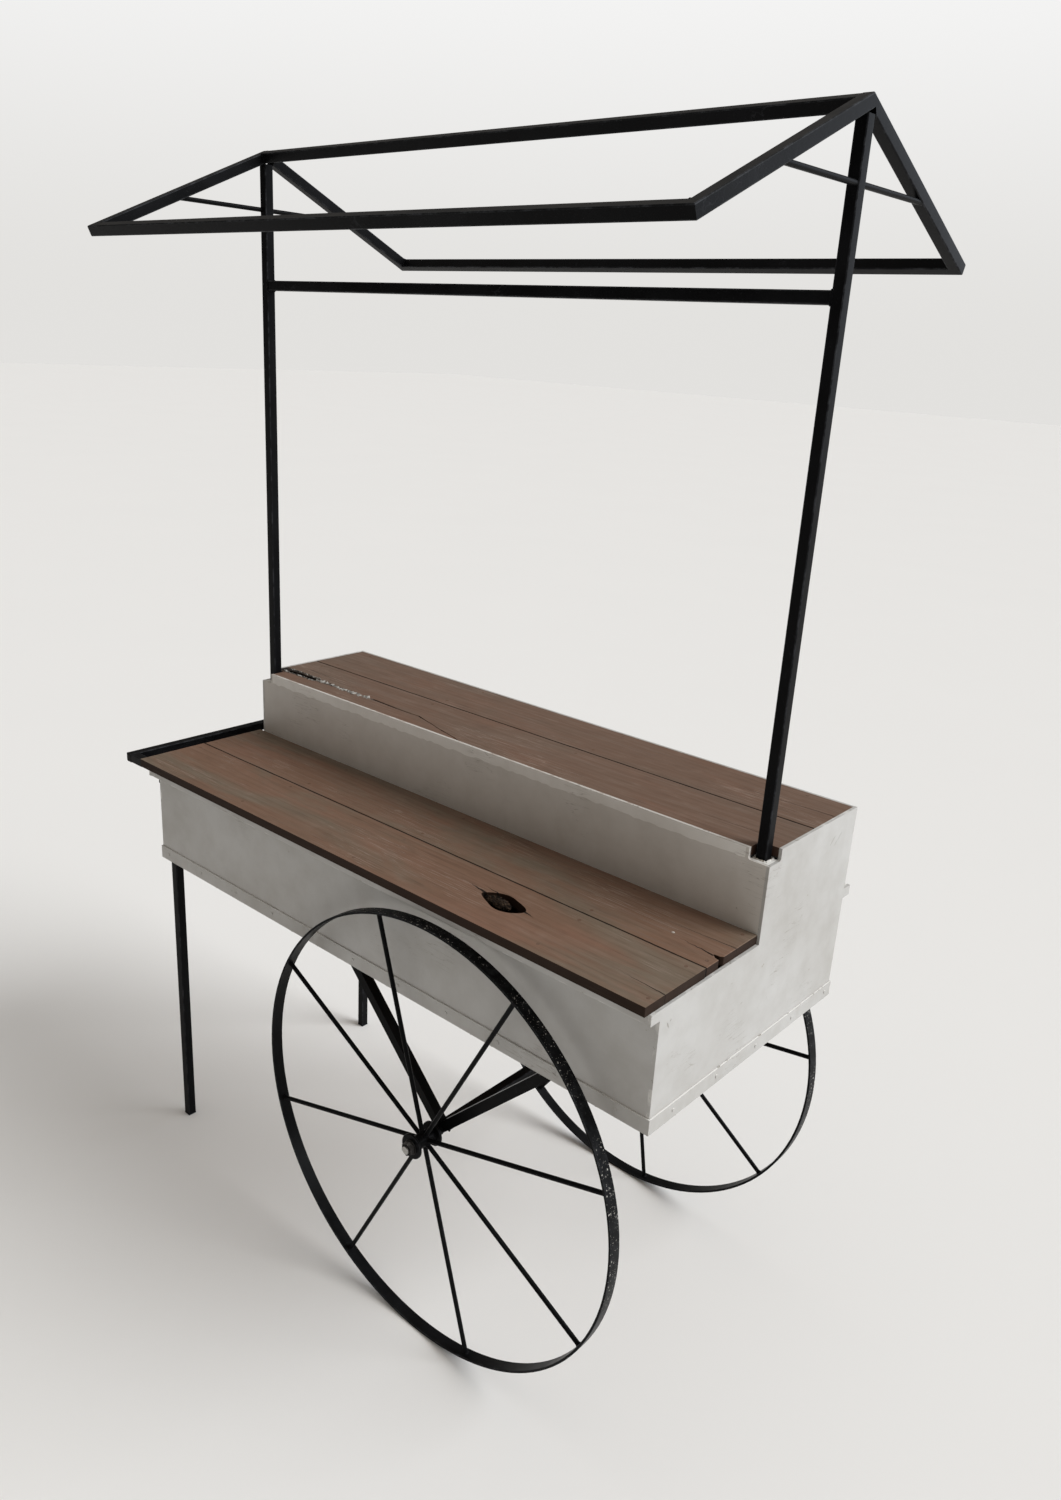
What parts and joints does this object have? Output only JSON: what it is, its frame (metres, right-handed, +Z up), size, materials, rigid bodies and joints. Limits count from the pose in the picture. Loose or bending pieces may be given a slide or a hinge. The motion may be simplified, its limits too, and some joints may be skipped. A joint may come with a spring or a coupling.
{
  "type": "push vending cart",
  "caption": "Push cart with a two-level wooden counter on a painted box body, tall spoked wheels, prop legs, a push bar and a bare gable canopy frame.",
  "frame": {"origin": "on the ground under the middle of the cart's outline", "axes": "+X along the cart away from the push handle, +Y to the back, +Z up"},
  "size_m": [1.4668, 0.813, 2.234],
  "materials": {
    "black_steel": "satin black paint, dusty and lightly scuffed",
    "black_fixings": "black paint over steel",
    "bare_steel": "turned steel, oiled",
    "frame_steel": "dark primer",
    "painted_board": "painted satin warm off-white",
    "painted_steel": "painted satin warm off-white",
    "lower_boards": "brown stain, satin, worn",
    "upper_boards": "brown stain, satin, worn",
    "floor_board": "raw plywood"
  },
  "bodies": {
    "cart": {"axle_beam": "black_steel", "axle_nuts": "black_fixings", "axle_spacers": "black_steel", "axle_stubs": "bare_steel", "axle_washers": "black_fixings", "floor_panel": "floor_board", "foot_caps": "black_steel", "frame_bottom_rails": "frame_steel", "frame_cross_rails": "frame_steel", "frame_shelf_rails": "frame_steel", "frame_upper_bearers": "frame_steel", "frame_uprights": "frame_steel", "front_panel": "painted_board", "handle_arms": "black_steel", "handle_bolts": "black_fixings", "handle_brackets": "black_steel", "handle_crossbar": "black_steel", "ledger_front": "painted_steel", "ledger_rear": "painted_steel", "left_end_panel": "painted_board", "leg_front": "black_steel", "leg_rear": "black_steel", "lower_board_front": "lower_boards", "lower_board_rear": "lower_boards", "post_plates": "painted_steel", "post_socket_left": "frame_steel", "post_socket_right": "frame_steel", "post_stops": "frame_steel", "rear_panel": "painted_board", "right_end_panel": "painted_board", "riser_panel": "painted_board", "skirt_front": "painted_steel", "skirt_left": "painted_steel", "skirt_rear": "painted_steel", "skirt_right": "painted_steel", "skirt_screws": "painted_steel", "strut_front_left": "black_steel", "strut_front_right": "black_steel", "strut_rear_left": "black_steel", "strut_rear_right": "black_steel", "upper_board_front": "upper_boards", "upper_board_rear": "upper_boards", "upper_board_strip": "upper_boards"},
    "canopy": {"canopy_crossbar": "black_steel", "canopy_front_eave": "black_steel", "canopy_front_rafters": "black_steel", "canopy_post_left": "black_steel", "canopy_post_right": "black_steel", "canopy_rear_eave": "black_steel", "canopy_rear_rafters": "black_steel", "canopy_ridge": "black_steel", "canopy_tie_rods": "black_steel"},
    "wheel_front": {"wheel_front_discs": "black_steel", "wheel_front_hub": "black_steel", "wheel_front_rim": "black_steel", "wheel_front_spokes": "black_steel"},
    "wheel_rear": {"wheel_rear_discs": "black_steel", "wheel_rear_hub": "black_steel", "wheel_rear_rim": "black_steel", "wheel_rear_spokes": "black_steel"}
  },
  "joints": [
    {"name": "wheel_front_spin", "type": "hinge", "parent": "cart", "child": "wheel_front", "pos_m": [0.26, -0.3505, 0.455], "axis": [0, 1, 0], "continuous": true},
    {"name": "wheel_rear_spin", "type": "hinge", "parent": "cart", "child": "wheel_rear", "pos_m": [0.26, 0.3265, 0.455], "axis": [0, 1, 0], "continuous": true},
    {"name": "canopy_lift", "type": "slide", "parent": "cart", "child": "canopy", "axis": [0, 0, 1], "range_m": [0, 0.145]}
  ]
}
